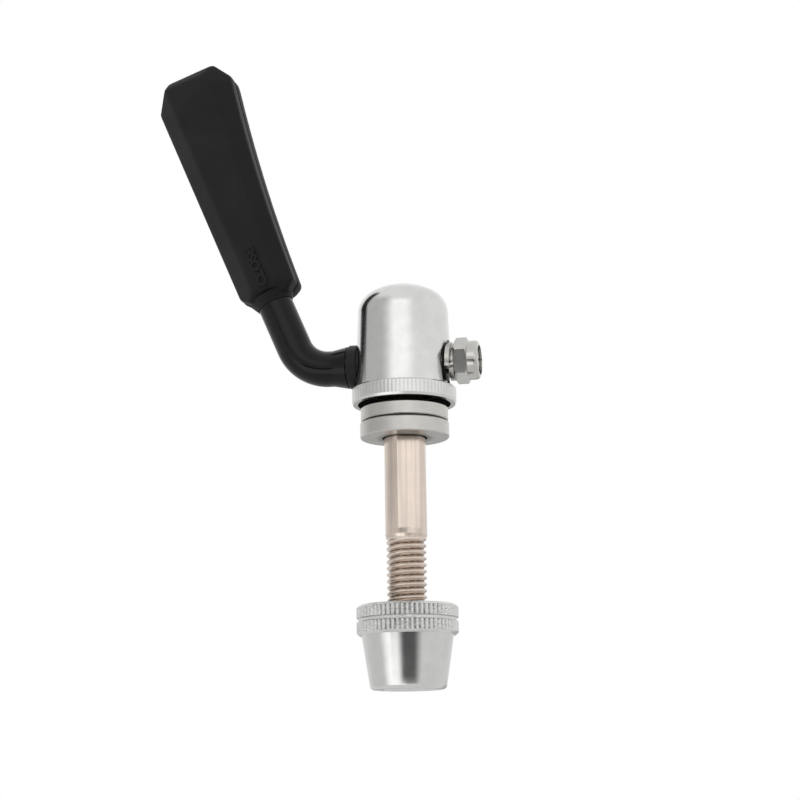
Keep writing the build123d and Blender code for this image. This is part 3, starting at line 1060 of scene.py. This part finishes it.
def aimed(turn, rise, roll):
    """Right, up and back of a camera that looks along a turn and a rise."""
    level = math.cos(rise)
    ahead = Vector((-math.sin(turn) * level, math.cos(turn) * level, math.sin(rise)))
    right = Vector((math.cos(turn), math.sin(turn), 0))
    up = right.cross(ahead)
    rolled_right = right * math.cos(roll) + up * math.sin(roll)
    rolled_up = up * math.cos(roll) - right * math.sin(roll)
    return Matrix((rolled_right, rolled_up, -ahead)).transposed().to_4x4()


camera_data = bpy.data.cameras.new("camera")
camera_data.lens = LENS_MM
camera_data.sensor_width = SENSOR_MM
camera_data.clip_start, camera_data.clip_end = CLIP
camera = put_in_scene("camera", camera_data)
camera_place = Vector((math.sin(CAMERA_TURN), -math.cos(CAMERA_TURN), 0)) * CAMERA_DISTANCE
camera_place.z = CAMERA_HEIGHT
camera.matrix_world = Matrix.Translation(camera_place) @ aimed(AIM_TURN, AIM_RISE, AIM_ROLL)
scene.camera = camera
print("camera", [round(length, 4) for length in camera_place])

# %% [markdown]
# ## A white room
# The lever stands before plain white. The room looks white to the camera and in
# reflections, but it lights the lever at less than half of that, or the black pieces
# would turn grey. The Light Path node tells the two apart.

# %% World
ROOM_LIGHT = 0.4
world = bpy.data.worlds.new("white_room")
scene.world = world
world.use_nodes = True
tree = world.node_tree
tree.nodes.clear()
room = Recipe(tree)
camera_ray, glossy_ray, transmission_ray = (
    room.node("ShaderNodeLightPath", output=ray)
    for ray in ("Is Camera Ray", "Is Glossy Ray", "Is Transmission Ray")
)
seen = camera_ray + glossy_ray + transmission_ray
strength = seen.math("MINIMUM", seen, 1.0) * (1 - ROOM_LIGHT) + ROOM_LIGHT
light = room.node("ShaderNodeBackground", None, {"Color": (1, 1, 1, 1), "Strength": strength})
output = tree.nodes.new("ShaderNodeOutputWorld")
tree.links.new(light.socket, output.inputs["Surface"])
scene.view_settings.view_transform = "Standard"
print("room lit at", ROOM_LIGHT)

# %% [markdown]
# ## A pale floor
# From above, the lever is seen before a floor. A floor close under it would throw light
# and reflections up into the metal, so this one lies far below, reaches wide, and glows
# for the camera alone.

# %% Floor
FLOOR_HEIGHT = -1.0  # metres
FLOOR_REACH = 10.0
FLOOR_GLOW = 0.60
FLOOR_CORNERS = ((-1, -1), (1, -1), (1, 1), (-1, 1))
FLOOR_LOOK = {"Base Color": (0.9, 0.9, 0.9, 1), "Roughness": 0.9, "Emission Strength": 1.0}


def floor_recipe(recipe):
    """The floor shows pale, and this adds no light to the lever."""
    watched = recipe.node("ShaderNodeLightPath", output="Is Camera Ray")
    return {"Emission Color": watched * FLOOR_GLOW}


floor_mesh = bpy.data.meshes.new("floor")
floor_points = [(x * FLOOR_REACH, y * FLOOR_REACH, FLOOR_HEIGHT) for x, y in FLOOR_CORNERS]
floor_mesh.from_pydata(floor_points, [], [(0, 1, 2, 3)])
floor_mesh.materials.append(finish("floor_white", FLOOR_LOOK, floor_recipe))
floor = put_in_scene("floor", floor_mesh)
print("floor at", FLOOR_HEIGHT, "m")

# %% [markdown]
# ## What the metal reflects
# Bright metal only looks like metal when it has light and dark to show, so a shell of soft
# boxes, grey walls and black flags stands round it. Real panels would each throw light and
# shade of their own. Painted on one shell that only reflections see, they light nothing,
# and each can be moved by itself.

# %% The panels
SHELL_RADIUS = 0.9  # metres
ROOM_BRIGHTNESS = 1.05

# Each panel: its brightness, then where it fades in and out. Turns run from -Y towards +X
# and rises from the horizon, both in degrees. A later panel hangs in front of an earlier one.
panels = (
    # name, brightness, turn in, turn out, rise in, rise out
    ("lower_room", 0.88, (-181, -180), (180, 181), (-91, -90), (4, 7)),
    ("grey_behind_left", 0.50, (-181, -180), (-165, -145), (-30, -24), (-7, -4)),
    ("grey_behind_right", 0.50, (145, 165), (180, 181), (-30, -24), (-7, -4)),
    ("grey_wall", 0.66, (-98, -92), (-46, -18), (6, 9), (36, 58)),
    ("grey_wall_low", 0.80, (-128, -112), (-66, -48), (-40, -34), (-7, -4)),
    ("soft_box_high", 1.50, (-30, -8), (14, 44), (6, 10), (27, 44)),
    ("soft_box_low", 1.60, (-66, -38), (0, 10), (-40, -34), (-8, -5)),
    ("knurl_fill", 1.08, (-60, -40), (70, 90), (-2, 1), (4, 6)),
    ("flange_fill", 1.40, (0, 25), (75, 100), (12, 13), (15, 17)),
    ("shank_fill", 1.42, (14, 22), (44, 62), (6, 7.5), (10.2, 10.8)),
    ("shank_shade", 0.68, (-120, -100), (4, 12), (6, 7.5), (10.2, 10.8)),
    ("black_flag_side", 0.06, (-126, -120), (-96, -91), (14.5, 17), (48, 58)),
    ("black_flag_low", 0.08, (-20, 1), (26, 52), (-24, -19), (-9, -7)),
    ("black_card_nut", 0.03, (-34, -31), (6, 9), (-13.0, -12.7), (-6, -5)),
)
print("panels", len(panels))

# %% The shell that carries them
SHELL_ROUNDS = 5
SHELL_LOOK = {
    "Base Color": (0, 0, 0, 1),
    "Roughness": 1.0,
    "Specular IOR Level": 0.0,
    "Emission Strength": 1.0,
}


def shell_recipe(recipe):
    x, y, z = (place(recipe, axis=axis) for axis in range(3))
    turn = x.math("ARCTAN2", x, y * -1) * math.degrees(1)
    rise = z.math("ARCSINE", z * (MM / SHELL_RADIUS)) * math.degrees(1)
    light = ROOM_BRIGHTNESS
    for name, brightness, turn_in, turn_out, rise_in, rise_out in panels:
        share = turn.past(turn_in) * turn.short_of(turn_out)
        share = share * rise.past(rise_in) * rise.short_of(rise_out)
        light = light + share * (brightness - light)
    return {"Emission Color": light}


shell_mesh = bpy.data.meshes.new("studio_shell")
work = bmesh.new()
bmesh.ops.create_icosphere(work, subdivisions=SHELL_ROUNDS, radius=SHELL_RADIUS)
work.to_mesh(shell_mesh)
work.free()
shell_mesh.materials.append(finish("studio_light", SHELL_LOOK, shell_recipe))
shell = put_in_scene("studio_shell", shell_mesh)
shell.visible_camera = False
shell.visible_diffuse = False
shell.visible_shadow = False
print("shell", len(shell_mesh.polygons), "faces")

# %% [markdown]
# ## Two soft lamps
# The panels light nothing, so the black pieces need lamps that show which way their faces
# turn: a weak one from above and a stronger one on the handle's side. Reflections don't
# show the lamps, because every highlight already comes from a panel.

# %% Lamps
lamps = (
    # name, turn and rise in degrees, width and height in metres, watts
    ("lamp_key", -35, 40, (0.5, 0.7), 2),
    ("lamp_side", -85, 12, (0.5, 0.5), 18),
)
LAMP_DISTANCE = 1.0


def toward(turn, rise):
    """Unit vector: turn from -Y towards +X and rise above the horizon, in degrees."""
    turn, rise = math.radians(turn), math.radians(rise)
    level = math.cos(rise)
    return Vector((math.sin(turn) * level, -math.cos(turn) * level, math.sin(rise)))


for name, turn, rise, size, watts in lamps:
    lamp_data = bpy.data.lights.new(name, "AREA")
    lamp_data.shape = "RECTANGLE"
    lamp_data.size, lamp_data.size_y = size
    lamp_data.energy = watts
    lamp = put_in_scene(name, lamp_data)
    aim = toward(turn, rise)
    facing = aim.to_track_quat("Z", "Y").to_matrix().to_4x4()
    lamp.matrix_world = Matrix.Translation(aim * LAMP_DISTANCE) @ facing
    lamp.visible_glossy = False
    print(name, watts, "W")
